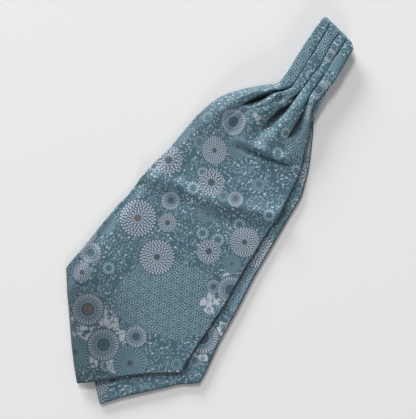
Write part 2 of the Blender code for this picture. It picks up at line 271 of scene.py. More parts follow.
def blade_height(x, y):
    """Face of the front blade and its gathers, without edges or valleys."""
    low = mix(3.4, 6.2, on_back(x, y))
    over = fold_place(x, y)
    z = mix(low, curve(FOLD_LEVELS, y), over)
    z = z + 4.0 * ease(np.hypot(x + 12.6, y + 219), 75, 0)
    # creases across the blade
    k = mix(0.75, 1.15, ease(x, -60, 20))
    z = z + 3.5 * k * bump(y - curve(RIDGE, x), 8.0)
    z = z - 1.5 * k * bump(y - curve(TROUGH, x), 7.0)
    across = ease(x, -22, 2) * ease(x, 46, 26)
    z = z - 4.3 * across * bump(y - curve(STEP, x) + 0.3, 2.7)
    z = z + 1.9 * across * bump(y - curve(STEP, x) - 6.0, 3.6)
    z = z + 0.9 * across * bump(y - curve(STEP, x) + 6.5, 5.0)
    # the pillow of loose cloth beside the gathers
    left = curve(FRONT_EDGES, y, 1)
    z = z + 4.2 * ease(y, 48, 98) * ease(y, 146, 118) * np.sin(
        math.pi * clip01((x - left) / np.maximum(curve(LINES, y, 1) + 8 - left, 4))
    ) ** 0.8
    # the hollow where the second strip turns into its bulge
    z = z - 3.0 * np.exp(-(((x + 8.6) / 3.0) ** 2) - ((y - 129.0) / 4.6) ** 2)
    for at_x, at_y, reach, height in FILLS:
        z = z + height * np.exp(-(((x - at_x) / reach) ** 2) - ((y - at_y) / reach) ** 2)
    z = z + 0.28 * slow(x, y) + 0.16 * middling(x, y)
    return z


def front_panel(c, y, turn):
    """Places points of the front cloth: c across it, y along it, turn round the top fold."""
    edge_l, edge_r = curve(FRONT_EDGES, y, 1), curve(FRONT_EDGES, y, 2)
    spread = ease(y, 78, 100)
    xs = [edge_l]
    for k in (1, 2, 3):
        wave = (0.36 * np.sin(y / 6.3 + 2.1 * k) + 0.26 * np.sin(y / 3.1 + 4.0 * k)) * ease(y, 132, 152)
        xs.append(mix(mix(edge_l, edge_r, SHARES[k]), curve(LINES, y, k) + wave, spread))
    xs.append(edge_r)
    xs = np.stack(xs, -1)  # ..., 5

    # open cloth: columns spread evenly between the lines
    strip = np.clip(np.searchsorted(SHARES, c, "right") - 1, 0, 3)
    lo, hi = np.take(SHARES, strip), np.take(SHARES, strip + 1)
    w = (c - lo) / (hi - lo)
    a = np.take_along_axis(xs, strip[..., None], -1)[..., 0]
    b = np.take_along_axis(xs, strip[..., None] + 1, -1)[..., 0]
    x_open = mix(a, b, w)
    crown = np.zeros_like(c)
    for k in range(4):
        section = curve(SECTIONS, w, k + 1)
        if k == 1:
            section = mix(section, curve(SECTIONS, w, 5), ease(y, 119, 129))
        crown = np.where(strip == k, curve(CROWNS, y, k + 1) * section, crown)
    # below its pocket the third strip runs out as a smooth ridge
    smooth = ease(y, 110, 99)
    crown = crown * np.where(strip == 2, 1 - smooth, 1.0)
    middle = mix(xs[..., 2], xs[..., 3], 0.44)
    crown = crown + smooth * curve(CROWNS, y, 3) * 0.95 * bump(x_open - middle, 8.2)
    z_open = blade_height(x_open, y) + crown
    for k in (1, 2, 3):
        off = x_open - xs[..., k]
        width = np.where(off < 0, curve(WIDTHS, y, 2 * k - 1), curve(WIDTHS, y, 2 * k))
        z_open = z_open - curve(VALLEYS, y, k) * np.exp(-np.abs(off / width) ** 1.7)
    z_open = soft_max(z_open, cloth_floor(x_open, y), 0.8)
    # the steep side of each valley leans out over it
    for k, side in ((1, 1), (2, 1), (3, -1)):
        off = (x_open - xs[..., k]) * side
        reach = clip01(off / 1.5)
        x_open = x_open - side * curve(LEANS, y, k) * np.where(
            off > 0, reach**2 * (3 - 2 * reach) * np.exp(-np.maximum(off - 1.5, 0) / 2.2), 0.0)

    # pleated cloth: four strips, each with its left fold on top of the strip before it
    x_band = np.zeros_like(c)
    z_band = np.zeros_like(c)
    for k in range(4):
        s0, s1 = STRIP_SPANS[k]
        inside = (c >= s0) & (c <= s1)
        v = clip01((c - s0) / (s1 - s0))
        first = xs[..., k] + (0.35 if k else 0.0)
        if k < 3:
            gap, deep = [(0.45, 1.5), (0.5, 1.8), (0.95, 2.2)][k]
            reach = clip01((xs[..., k + 1] - mix(first, xs[..., k + 1], v) - gap) / 2.1)
            drop = mix(-0.08, 0.25, v**2) + deep * (1 - np.sqrt(np.maximum(1 - (1 - reach) ** 2, 0)))
        else:
            drop = mix(-0.08, 1.3, v**2.4)
        crown_k = 0.7 * curve(CROWNS, y, k + 1) * curve(SECTIONS, v, k + 1)
        x_band = np.where(inside, mix(first, xs[..., k + 1], v), x_band)
        z_band = np.where(inside, -drop + crown_k, z_band)
    for k in range(3):
        s0, s1 = STRIP_SPANS[k][1], STRIP_SPANS[k + 1][0]
        inside = (c > s0) & (c < s1)
        v = clip01((c - s0) / (s1 - s0))
        depth = UNDER * mix(0.45, 1.0, ease(y, 118, 146))
        x_fold = xs[..., k + 1] + line(PLEAT_FOLD, v, 1) * depth + line(PLEAT_FOLD, v, 2)
        x_band = np.where(inside, x_fold, x_band)
        z_band = np.where(inside, -line(PLEAT_FOLD, v, 3), z_band)
    top_of_band = mix(NOSE_CENTRE + NOSE_RADIUS, blade_height(x_band, y) + 0.6, ease(y, 152, 132))
    z_band = top_of_band + np.where(z_band < 0, z_band * mix(1.12, 2.6, ease(y, 152, 134)), z_band)
    z_band = soft_max(z_band, cloth_floor(x_band, y), 0.8)

    amounts = [curve(FOLDED, y, k) for k in (1, 2, 3)]
    folded = np.zeros_like(c)
    knots = (0.0, 0.20, 0.52, 0.76, 1.0)
    per = [amounts[0], amounts[0], amounts[1], amounts[2], amounts[2]]
    for k in range(4):
        inside = (c >= knots[k]) & (c <= knots[k + 1])
        v = clip01((c - knots[k]) / (knots[k + 1] - knots[k]))
        folded = np.where(inside, mix(per[k], per[k + 1], v * v * (3 - 2 * v)), folded)
    x = mix(x_open, x_band, folded)
    z = mix(z_open, z_band, folded)

    # round the top fold
    share = clip01((x - xs[..., 0]) / (xs[..., 4] - xs[..., 0]))
    h = z - NOSE_CENTRE
    level = ease(y, 198, 217) * 0.96
    h = mix(h, NOSE_RADIUS - 0.15 + (z - z.max(-1, keepdims=True)) * 0.2, level * (z > NOSE_CENTRE))
    y_out = np.where(turn > 0, y + h * np.sin(turn), y)
    z_out = np.where(turn > 0, NOSE_CENTRE + h * np.cos(turn), z)
    return x, y_out, z_out, share


def top_edge(share):
    return (223.0 - 7.9 * share - 5.6 * clip01((share - 0.85) / 0.15) ** 2.2
            - 3.6 * clip01(1 - share / 0.10) ** 2)


# ------------------------------------------------------------------ meshes
def normals(P):
    du = np.gradient(P, axis=1)
    dv = np.gradient(P, axis=0)
    n = np.cross(du, dv)
    return n / np.maximum(np.linalg.norm(n, axis=-1, keepdims=True), 1e-9)


def sheet_mesh(name, P, uv, thick, up=True, inner=None, rim=None, pocket=None):
    """A closed sheet: grid P (rows, columns, 3) in mm, with a wall of the given thickness.
    rim is each point's distance to the outline and pocket its share of a pocket's depth. Both
    are kept in a second UV map, from which the material paints shade on shaded edges and in pockets."""
    R, C = P.shape[:2]
    if inner is None:
        n = normals(P)
        inner = P - n * thick * (1 if up else -1)
    verts = np.concatenate([P.reshape(-1, 3), inner.reshape(-1, 3)]) * MM
    idx = np.arange(R * C).reshape(R, C)
    a, b, c, d = idx[:-1, :-1], idx[:-1, 1:], idx[1:, 1:], idx[1:, :-1]
    quads = np.stack([a, b, c, d], -1).reshape(-1, 4)
    under = quads[:, ::-1] + R * C
    ring = np.concatenate([idx[0, :-1], idx[:-1, -1], idx[-1, :0:-1], idx[:0:-1, 0]])
    nxt = np.roll(ring, -1)
    wall = np.stack([nxt, ring, ring + R * C, nxt + R * C], -1)
    faces = np.concatenate([quads, under, wall])
    if not up:
        faces = faces[:, ::-1]
    me = bpy.data.meshes.new(name)
    me.vertices.add(len(verts))
    me.vertices.foreach_set("co", verts.ravel())
    me.loops.add(faces.size)
    me.loops.foreach_set("vertex_index", faces.ravel().astype(np.int32))
    me.polygons.add(len(faces))
    me.polygons.foreach_set("loop_start", np.arange(0, faces.size, 4, dtype=np.int32))
    me.update(calc_edges=True)
    layer = me.uv_layers.new(name="cloth")
    flat = np.concatenate([uv.reshape(-1, 2), uv.reshape(-1, 2)]) * MM
    layer.data.foreach_set("uv", flat[faces.ravel()].ravel().astype(np.float32))
    far = np.full(R * C, 30.0) if rim is None else np.broadcast_to(rim, (R, C)).reshape(-1)
    deep = np.zeros(R * C) if pocket is None else pocket.reshape(-1)
    far = np.stack([np.concatenate([far, far]) * MM, np.concatenate([deep, deep])], -1)
    layer = me.uv_layers.new(name="rim")
    layer.data.foreach_set("uv", far[faces.ravel()].ravel().astype(np.float32))
    me.uv_layers.active_index = 0
    me.validate()
    me.shade_smooth()
    ob = bpy.data.objects.new(name, me)
    bpy.context.scene.collection.objects.link(ob)
    return ob


def edge_drop(d, radius, height):
    """How far a turned edge has rolled down at a distance d from the outline."""
    k = clip01(1 - d / radius)
    return height * (1 - np.sqrt(np.maximum(1 - k * k, 0.0)))


def packed(count, low, high, edge=0.0, near=(0.0004, 0.0012, 0.0027, 0.0055, 0.0100, 0.0170)):
    """Shares from low to high, with extra close ones next to the ends that are edges."""
    v = list(np.linspace(low, high, count))
    if edge in (-1, 2):
        v += [low + q for q in near]
    if edge in (1, 2):
        v += [high - q for q in near]
    return sorted(set(np.round(v, 6)))


def shaded_rim(x, y, edges, end):
    """Distance to the right edge and the pointed end, where the rolled edge is in its own
    shade. The left edge is in the light, so it doesn't count."""
    right = np.maximum(curve(edges, y, 2) - x, 0.0)
    tip = min(end, key=lambda e: e[1])
    left_part = side_distance(x, y, FAR, [e for e in end if e[0] <= tip[0]]) + 0.5
    right_part = side_distance(x, y, FAR, [e for e in end if e[0] >= tip[0]])
    return np.minimum(np.minimum(right, left_part), right_part)


def pocket_share(x, y, z, reach=9.0, full=6.0):
    """How far each point in the gathers lies below the cloth on both sides of it, as a share. The material paints
    shade in the pockets by it.
    """
    out = np.zeros_like(z)
    for i in np.nonzero((y.min(-1) > 90) & (y.max(-1) < 152))[0]:
        dx = x[i][None, :] - x[i][:, None]
        left = np.where((dx <= 0) & (dx > -reach), z[i][None, :], -1e9).max(1)
        right = np.where((dx >= 0) & (dx < reach), z[i][None, :], -1e9).max(1)
        out[i] = np.minimum(left, right) - z[i]
    return clip01(out / full) * ease(y, 90, 98) * ease(y, 151, 140)


FAR = [(-300, -500.0, 500.0), (0, -500.0, 500.0), (300, -500.0, 500.0)]


def side_distance(x, y, edges, end):
    """Distance to the nearest edge of a blade, from inside."""
    left, right = curve(edges, y, 1), curve(edges, y, 2)
    d = np.minimum(x - left, right - x)
    ex, ey = np.array([e[0] for e in end]), np.array([e[1] for e in end])
    best = np.full(np.shape(x), 1e9)
    for i in range(len(ex) - 1):
        ax, ay, bx, by = ex[i], ey[i], ex[i + 1], ey[i + 1]
        dx, dy = bx - ax, by - ay
        t = clip01(((x - ax) * dx + (y - ay) * dy) / (dx * dx + dy * dy))
        best = np.minimum(best, np.hypot(x - ax - t * dx, y - ay - t * dy))
    return np.maximum(np.minimum(d, best), 0.0)


# ------------------------------------------------------------------ front panel
def front_columns():
    spans = [
        packed(20, 0.0, 0.13, -1), packed(20, 0.13, 0.27), packed(24, 0.27, 0.46),
        packed(18, 0.46, 0.58), packed(18, 0.58, 0.70), packed(18, 0.70, 0.82),
        packed(22, 0.82, 1.0, 1),
    ]
    close = [k + q for k in SHARES[1:4] for q in (-0.020, -0.0125, -0.0065, 0.0, 0.0065, 0.0125, 0.020)]
    return np.array(sorted(set(np.round(sum(spans, close), 4))))


cols = front_columns()
SEAM = 95.0
end_y = line(FRONT_END, mix(-87.4, 66.7, cols))
blade_rows = np.array([0, 0.0006, 0.002, 0.0045, 0.008, 0.0125] + list(np.linspace(0.018, 0.80, 76)) + list(np.linspace(0.81, 1, 52)))
rows_y = [mix(end_y, SEAM, r) for r in blade_rows]
rows_turn = [np.zeros_like(cols)] * len(blade_rows)
for y in list(np.arange(96.2, 150.1, 1.15)) + list(np.linspace(152.5, 205, 20)):
    rows_y.append(np.full_like(cols, y))
    rows_turn.append(np.zeros_like(cols))
Y = np.array(rows_y)
T = np.array(rows_turn)
Cc = np.broadcast_to(cols, Y.shape).copy()
x0, _, _, share0 = front_panel(Cc[-1:], Y[-1:], T[-1:])
limit = top_edge(share0[0]) - NOSE_RADIUS
extra_y, extra_t = [], []
for k in np.linspace(0, 1, 7)[1:]:
    extra_y.append(mix(205.0, limit, k))
    extra_t.append(np.zeros_like(cols))
for k in np.linspace(0, 1, 15)[1:]:
    extra_y.append(limit)
    extra_t.append(np.full_like(cols, math.pi * k))
Y, T = np.vstack([Y, extra_y]), np.vstack([T, extra_t])
Cc = np.broadcast_to(cols, Y.shape).copy()
X, YY, Z, _ = front_panel(Cc, Y, T)
d = side_distance(X, Y, FRONT_EDGES, FRONT_END)
drop = edge_drop(d, 1.7, 2.1)
in_blade = ease(Y, 150, 138)
side_only = np.minimum(X - curve(FRONT_EDGES, Y, 1), curve(FRONT_EDGES, Y, 2) - X)
band_drop = edge_drop(np.maximum(side_only, 0), 1.1, 0.9)
Z = Z - np.where(T == 0, mix(band_drop, drop, in_blade), mix(band_drop, drop, in_blade) * np.cos(T))
P = np.stack([X, YY, Z], -1)

flat_du = np.hypot(np.diff(X, axis=1), np.diff(Z, axis=1))
U = np.concatenate([np.zeros((len(X), 1)), np.cumsum(flat_du, 1)], 1)
centre = int(np.argmin(np.abs(cols - 0.5)))
U = U - U[:, centre : centre + 1] + mix(X[:, centre : centre + 1], 2.0, ease(Y[:, centre : centre + 1], 20, 110))
V = Y + NOSE_RADIUS * T
front = sheet_mesh("front_panel", P, np.stack([U, V], -1), 0.5,
                   rim=shaded_rim(X, Y, FRONT_EDGES, FRONT_END) + mix(0.0, 0.45, ease(Y, 140, 152)),
                   pocket=pocket_share(X, Y, Z))

# ------------------------------------------------------------------ linings and back blade
def plain_grid(edges, end, n_cols, n_rows, top_y, inset=0.0):
    c = np.array(packed(n_cols, 0, 1, 2, near=(0.003, 0.008, 0.016)))
    r = np.array([0, 0.002, 0.005, 0.010] + list(np.linspace(0.018, 1, n_rows)))
    c, r = c[None, :], r[:, None]
    low = line(end, mix(end[0][0], end[-1][0], c))
    y = mix(low + inset * 1.45, top_y, r)
    left, right = curve(edges, y, 1) + inset, curve(edges, y, 2) - inset
    return mix(left, right, c), y


def uv_of(x, y, about=0.0, shift=(0, 0)):
    return np.stack([x * np.ones_like(y) + shift[0], y + shift[1]], -1)


# the lowest cloth of the front panel over each square millimetre, with its neighbours
CELLS = (260, 460)
lowest = np.full(CELLS, 99.0)
cell_x, cell_y = np.round(X).astype(int) + 130, np.round(YY).astype(int) + 230
np.minimum.at(lowest, (cell_x[T == 0], cell_y[T == 0]), Z[T == 0])
for _ in range(2):
    wide = np.pad(lowest, 1, mode="edge")
    lowest = np.minimum.reduce([wide[i : i + CELLS[0], j : j + CELLS[1]] for i in range(3) for j in range(3)])
for _ in range(2):
    wide = np.pad(lowest, 1, mode="edge")
    lowest = sum(wide[i : i + CELLS[0], j : j + CELLS[1]] for i in range(3) for j in range(3)) / 9


def below_front(x, y):
    gx, gy = np.clip(x + 130, 0, CELLS[0] - 2), np.clip(y + 230, 0, CELLS[1] - 2)
    i, j = gx.astype(int), gy.astype(int)
    u, v = gx - i, gy - j
    return (lowest[i, j] * (1 - u) * (1 - v) + lowest[i + 1, j] * u * (1 - v)
            + lowest[i, j + 1] * (1 - u) * v + lowest[i + 1, j + 1] * u * v)


# lining of the front blade: follows what it lies on, and ends under the gathers
x, y = plain_grid(FRONT_EDGES, FRONT_END, 90, 120, 128.0, inset=2.6)
base = mix(0.35, 2.75, on_back(x, y))
z = mix(base, line(FOLD_TOPS, y) - 0.2, fold_place(x, y)) + 4.0 * ease(np.hypot(x + 12.6, y + 219), 75, 0)
z = np.maximum(np.minimum(z + 0.95, below_front(x, y) - 0.65), cloth_floor(x, y) - 0.65)
z = z - edge_drop(side_distance(x, y, [(e[0], e[1] + 2.6, e[2] - 2.6) for e in FRONT_EDGES],
                                [(e[0], e[1] + 3.8) for e in FRONT_END]), 0.8, 0.35)
front_lining = sheet_mesh("front_lining", np.stack([x, y, z], -1), uv_of(x, y, shift=(61, 33)), 0.6)

# the back blade's lining faces up, its edge turned down over the face cloth below
back_soft = Drift(60)
x, y = plain_grid(BACK_EDGES, BACK_END, 90, 130, SEAM + 47.5)
d = side_distance(x, y, BACK_EDGES, BACK_END)
z = 2.33 + 0.22 * np.maximum(back_soft(x, y), -1.2) * ease(d, 0, 6) * ease(y, 118, 96)
beside = x - curve(FRONT_EDGES, y, 2)
below_tip = line(FRONT_END, np.clip(x, -87.4, 66.7)) - y
free = np.maximum(ease(beside, 1.5, 7.5), ease(below_tip, 2.5, 9.0)) * ease(y, 112, 92)
share = (x - curve(BACK_EDGES, y, 1)) / (curve(BACK_EDGES, y, 2) - curve(BACK_EDGES, y, 1))
gather = ease(y, 70, 128)
z = z + gather * 0.35 * np.sin(share * math.tau * 4.0 + 0.6) * ease(d, 0, 3)
lift = 1.2 * np.maximum(ease(beside, 4, 13), ease(below_tip, 5, 20)) * ease(y, 95, 60)
z = np.minimum(z, 2.62) + 1.0 * free + lift
z = z - edge_drop(d, 1.9, mix(1.6, 2.45, free))
back_lining = sheet_mesh("back_lining", np.stack([x, y, z], -1), uv_of(x, y, shift=(143, -62)), 0.55, rim=shaded_rim(x, y, BACK_EDGES, BACK_END))

# the back blade's face rests flat on the surface
x, y = plain_grid(BACK_EDGES, BACK_END, 60, 90, 142.0, inset=2.2)
d = side_distance(x, y, [(e[0], e[1] + 2.2, e[2] - 2.2) for e in BACK_EDGES],
                  [(e[0], e[1] + 3.2) for e in BACK_END])
share = (x - curve(BACK_EDGES, y, 1)) / (curve(BACK_EDGES, y, 2) - curve(BACK_EDGES, y, 1))
groove = ease(y, 84, 132) * np.clip(np.sin(share * math.tau * 4.0 + 0.6) - 0.35, 0, 1) * 0.5
beside = x - curve(FRONT_EDGES, y, 2)
below_tip = line(FRONT_END, np.clip(x, -87.4, 66.7)) - y
lift = 1.2 * np.maximum(ease(beside, 4, 13), ease(below_tip, 5, 20)) * ease(y, 95, 60)
z_low = 0.02 + groove + edge_drop(d, 1.2, 0.4) + lift
flat = np.stack([x, y, z_low], -1)
over = flat + np.array([0, 0, 0.62])
back_face = sheet_mesh("back_face", flat, uv_of(-x, y, shift=(-97, 118)), 0.6, up=False, inner=over)


# ------------------------------------------------------------------ the folded neckband
def band_strip(name, path, shift):
    """Lofts the pressed, pleated band along a path. A row of the path is y, z, half width,
    middle x, slant of the row, the direction the path runs there (degrees, 0 is +Y), and
    the band's thickness there."""
    ring = []  # across (share of half), height (share of thickness)
    steps = 20
    for side in (1, -1):
        for k in range(steps + 1):
            a = -1 + 2 * k / steps
            ring.append((a * side * 0.975, -0.5 * side * -1))
        edge = [(0.988, 0.47), (0.999, 0.38), (1.0, 0.28), (0.985, 0.185), (0.96, 0.165), (0.985, 0.145),
                (1.0, 0.05), (1.0, -0.05), (0.985, -0.145), (0.96, -0.165), (0.985, -0.185),
                (1.0, -0.28), (0.999, -0.38), (0.988, -0.47)]
        for e, h in edge:
            ring.append((e * side, h * side))
    ring = np.array(ring)
    rows = []
    uv = []
    along = 0.0
    for i, (yy, zz, half, mid, slant, ang, thick) in enumerate(path):
        if i:
            along += math.hypot(yy - path[i - 1][0], zz - path[i - 1][1])
        ang = math.radians(ang)
        across = ring[:, 0] * half
        wave = 0.05 * np.sin(ring[:, 0] * 9 + 0.7) * (np.abs(ring[:, 0]) < 0.9)
        h = ring[:, 1] * thick + wave * np.sign(ring[:, 1])
        rows.append(np.stack([
            mid + across,
            yy + slant * across - math.sin(ang) * h,
            zz + math.cos(ang) * h,
        ], -1))
        uv.append(np.stack([across + shift, np.full_like(across, along)], -1))
    P = np.array(rows)
    R, C = P.shape[:2]
    idx = np.arange(R * C).reshape(R, C)
    nxt = np.roll(idx, -1, axis=1)
    faces = np.stack([idx[:-1], nxt[:-1], nxt[1:], idx[1:]], -1).reshape(-1, 4)
    me = bpy.data.meshes.new(name)
    uvs = np.array(uv).reshape(-1, 2) * MM
    me.from_pydata((P.reshape(-1, 3) * MM).tolist(), [], faces.tolist() + [idx[0][::-1].tolist(), idx[-1].tolist()])
    layer = me.uv_layers.new(name="cloth")
    loops = np.zeros(len(me.loops), np.int32)
    me.loops.foreach_get("vertex_index", loops)
    layer.data.foreach_set("uv", uvs[loops].ravel().astype(np.float32))
    layer = me.uv_layers.new(name="rim")
    layer.data.foreach_set("uv", np.full(2 * len(loops), 0.03, np.float32))
    me.uv_layers.active_index = 0
    bm = bmesh.new()
    bm.from_mesh(me)
    bmesh.ops.recalc_face_normals(bm, faces=bm.faces)
    bm.to_mesh(me)
    bm.free()
    me.shade_smooth()
    me.set_sharp_from_angle(angle=math.radians(62))
    ob = bpy.data.objects.new(name, me)
    bpy.context.scene.collection.objects.link(ob)
    return ob


path = []
SLANT = -0.2145
mid_at = lambda y: float(curve(FOLD_MIDDLE, y))
pressed = lambda y: float(mix(2.9, 1.7, ease(y, 158, 138)))  # thickness of a stretch
third = lambda y: float(mix(4.98, 3.75, ease(y, 158, 138)))  # height of the third stretch
slant_at = lambda y: SLANT * float(ease(y, 120, 195)) + 0.2 * float(ease(y, 150, 95))
for y in np.linspace(216.0, 92.0, 40):  # second stretch, running down under the blade
    path.append((y, third(y) + pressed(y) + 0.3, FOLD_HALF, mid_at(y), slant_at(y), 180, pressed(y)))
for k in np.linspace(0, 1, 15)[1:-1]:  # the lower fold
    a = math.pi * k
    path.append((86.4 - math.sin(a) - 1.0, 4.75 + math.cos(a), FOLD_HALF, mid_at(86), 0.2, 180 + 180 * k, 1.7))
for y in np.linspace(92.0, 208.0, 40):  # third stretch, running up again
    path.append((y, third(y), FOLD_HALF, mid_at(y), slant_at(y), 360, pressed(y)))


def back_mid(y):
    left, right = float(curve(BACK_EDGES, y, 1)), float(curve(BACK_EDGES, y, 2))
    return (left + right) / 2, (right - left) / 2


for k in np.linspace(0, 1, 15)[1:-1]:  # the lower of the two top folds
    a = math.pi * k
    m, half = back_mid(214)
    path.append((211.0 + 1.68 * math.sin(a), 3.3 + 1.68 * math.cos(a), mix(FOLD_HALF, half, k), mix(mid_at(210), m, k),
                 SLANT, 360 + 180 * k * -1, 2.9))
for y in np.linspace(208.0, 143.3, 26):  # last stretch, on the surface
    m, half = back_mid(y)
    path.append((y, 1.53, half, m, SLANT * float(ease(y, 150, 195)), 180, 2.9))
band = band_strip("neckband_under", path, 31.0)

# ------------------------------------------------------------------ shader writing
class Num:
    """A number inside a material's node tree, with arithmetic that adds Math nodes."""

    def __init__(self, tree, socket):
        self.tree, self.socket = tree, socket

    def _op(self, name, *others, clamp=False):
        return math_node(self.tree, name, self, *others, clamp=clamp)

    def __add__(self, o): return self._op("ADD", o)
    def __radd__(self, o): return self._op("ADD", o)
    def __sub__(self, o): return self._op("SUBTRACT", o)
    def __rsub__(self, o): return math_node(self.tree, "SUBTRACT", o, self)
    def __mul__(self, o): return self._op("MULTIPLY", o)
    def __rmul__(self, o): return self._op("MULTIPLY", o)
    def __truediv__(self, o): return self._op("DIVIDE", o)
    def __neg__(self): return self._op("MULTIPLY", -1.0)
    def fract(self): return self._op("FRACT")
    def floor(self): return self._op("FLOOR")
    def abs(self): return self._op("ABSOLUTE")
    def sin(self): return self._op("SINE")
    def cos(self): return self._op("COSINE")
    def power(self, o): return self._op("POWER", o)
    def low(self, o): return self._op("MINIMUM", o)
    def high(self, o): return self._op("MAXIMUM", o)
    def above(self, o): return self._op("GREATER_THAN", o)

    def step(self, a, b):
        """0 to 1, smoothly, as the number goes from a to b."""
        n = self.tree.nodes.new("ShaderNodeMapRange")
        n.interpolation_type = "SMOOTHSTEP"
        self.tree.links.new(self.socket, n.inputs[0])
        for i, v in ((1, a), (2, b)):
            put(self.tree, v, n.inputs[i])
        return Num(self.tree, n.outputs[0])

    def band(self, middle, half, soft):
        """1 near middle, within half; soft is the width of its edges."""
        return (self - middle).abs().step(half + soft, max(half - soft, 0.0))


def put(tree, value, socket):
    if isinstance(value, Num):
        tree.links.new(value.socket, socket)
    else:
        socket.default_value = value


def math_node(tree, name, *values, clamp=False):
    n = tree.nodes.new("ShaderNodeMath")
    n.operation = name
    n.use_clamp = clamp
    for i, v in enumerate(values):
        put(tree, v, n.inputs[i])
    return Num(tree, n.outputs[0])


class Cloth:
    """The print, written in the cloth's own coordinates, in millimetres."""

    def __init__(self, tree, turn=0.0, shift=(0.0, 0.0)):
        self.tree = tree
        uv = tree.nodes.new("ShaderNodeUVMap")
        uv.uv_map = "cloth"
        mapping = tree.nodes.new("ShaderNodeMapping")
        mapping.inputs["Scale"].default_value = (1000, 1000, 1000)
        mapping.inputs["Rotation"].default_value = (0, 0, turn)
        mapping.inputs["Location"].default_value = (shift[0], shift[1], 0)
        tree.links.new(uv.outputs[0], mapping.inputs[0])
        self.place = mapping.outputs[0]
        self.x, self.y = self.parts(self.place)

    def parts(self, socket):
        n = self.tree.nodes.new("ShaderNodeSeparateXYZ")
        self.tree.links.new(socket, n.inputs[0])
        return Num(self.tree, n.outputs[0]), Num(self.tree, n.outputs[1])

    def join(self, x, y):
        n = self.tree.nodes.new("ShaderNodeCombineXYZ")
        put(self.tree, x, n.inputs[0])
        put(self.tree, y, n.inputs[1])
        return n.outputs[0]

    def noise(self, size, detail=1.0, at=(0.0, 0.0), rough=0.5):
        n = self.tree.nodes.new("ShaderNodeTexNoise")
        n.noise_dimensions = "2D"
        n.inputs["Scale"].default_value = 1.0
        n.inputs["Detail"].default_value = detail
        n.inputs["Roughness"].default_value = rough
        self.tree.links.new(
            self.join(self.x / size + at[0], self.y / size + at[1]), n.inputs["Vector"]
        )
        return Num(self.tree, n.outputs[0])

    def scatter(self, cell, uneven, at=(0.0, 0.0)):
        """Scattered centres, one in each cell. Gives polar coordinates round the nearest and
        three random numbers for it."""
        x, y = self.x / cell + at[0], self.y / cell + at[1]
        n = self.tree.nodes.new("ShaderNodeTexVoronoi")
        n.voronoi_dimensions = "2D"
        n.inputs["Scale"].default_value = 1.0
        n.inputs["Randomness"].default_value = uneven
        self.tree.links.new(self.join(x, y), n.inputs["Vector"])
        cx, cy = self.parts(n.outputs["Position"])
        lx, ly = (x - cx) * cell, (y - cy) * cell
        split = self.tree.nodes.new("ShaderNodeSeparateColor")
        self.tree.links.new(n.outputs["Color"], split.inputs[0])
        h = [Num(self.tree, split.outputs[i]) for i in range(3)]
        return self.polar(lx, ly, h[2]) + (h, lx, ly)

    def nearest(self, x, y, places):
        """Which of a table's places is nearest for its size. Gives polar coordinates round it,
        where 1 is its size, and its last column."""
        here = self.join(x, y)
        best = best_d = tone = None
        for cx, cy, size, value in places:
            n = self.tree.nodes.new("ShaderNodeVectorMath")
            n.operation = "MULTIPLY_ADD"
            self.tree.links.new(here, n.inputs[0])
            n.inputs[1].default_value = (1 / size, 1 / size, 0)
            n.inputs[2].default_value = (-cx / size, -cy / size, 0)
            ln = self.tree.nodes.new("ShaderNodeVectorMath")
            ln.operation = "LENGTH"
            self.tree.links.new(n.outputs[0], ln.inputs[0])
            d = Num(self.tree, ln.outputs["Value"])
            if best is None:
                best, best_d, tone = n.outputs[0], d, value
                continue
            nearer = math_node(self.tree, "LESS_THAN", d, best_d)
            pick = self.tree.nodes.new("ShaderNodeMix")
            pick.data_type = "VECTOR"
            put(self.tree, nearer, pick.inputs[0])
            self.tree.links.new(best, pick.inputs[4])
            self.tree.links.new(n.outputs[0], pick.inputs[5])
            best = pick.outputs[1]
            best_d = best_d.low(d)
            tone = math_node(self.tree, "MULTIPLY_ADD", nearer, (value - tone), tone)
        lx, ly = self.parts(best)
        r, a = self.polar(lx, ly)
        return r, a + tone * 0.37, tone

    def blob(self, x, y, places, wobble):
        """1 inside any of a table's ellipses, with uneven edges."""
        inside = None
        for cx, cy, rx, ry in places:
            dx, dy = (x - cx) / rx, (y - cy) / ry
            v = (1.0 - (dx * dx + dy * dy)) * (0.5 * min(rx, ry))
            inside = v if inside is None else inside.high(v)
        return (inside + wobble).step(-0.7, 0.7)

    def polar(self, lx, ly, spin=0.0):
        r = (lx * lx + ly * ly).power(0.5)
        a = math_node(self.tree, "ARCTAN2", ly, lx) / math.tau + spin
        return r, a  # angle in turns

    def paint(self, under, over, mask):
        n = self.tree.nodes.new("ShaderNodeMix")
        n.data_type = "RGBA"
        put(self.tree, mask, n.inputs[0])
        for value, socket in ((under, n.inputs[6]), (over, n.inputs[7])):
            if isinstance(value, tuple):
                socket.default_value = (*value, 1)
            else:
                self.tree.links.new(value, socket)
        return n.outputs[2]


# ------------------------------------------------------------------ the print's motifs
def tick_ring(r, a, inner, outer, count, share=0.5):
    """A ring of short radial strokes."""
    return r.band((inner + outer) / 2, (outer - inner) / 2, 0.25) * (
        (a * count).fract() - 0.5
    ).abs().step(share / 2 + 0.09, share / 2 - 0.09)


def petal_rings(r, a, first, width, rings, base, more, turned):
    """Teardrop petals in rings, each ring with more of them than the one inside it. They
    leave a gap before the next ring, for the tips of a second set turned by half a petal."""
    n = ((r - first) / width).floor()
    rho = (((r - first) / width).fract() / 0.66).low(1.0)
    count = n * more + base
    across = ((a * count + turned).fract() - 0.5).abs()
    shape = (rho.power(1.35) * math.pi).sin().high(0.001).power(0.8) * 0.36 - 0.06
    petal = (across - shape).step(0.06, -0.06)
    return petal * r.step(first - 0.1, first + 0.1) * r.step(first + width * rings, first + width * rings - 0.2)


def daisy(r, a, size, petals):
    """A flat flower: pale petals with gaps between, round a small disc."""
    wave = ((a * petals).fract() - 0.5).abs()
    rim = (wave * wave) * (-2.2) + 1.0
    outline = (r / size - rim).step(0.05, -0.05)
    gap = wave.step(0.36, 0.46) * r.step(size * 0.35, size * 0.5)
    return outline * (1.0 - gap)


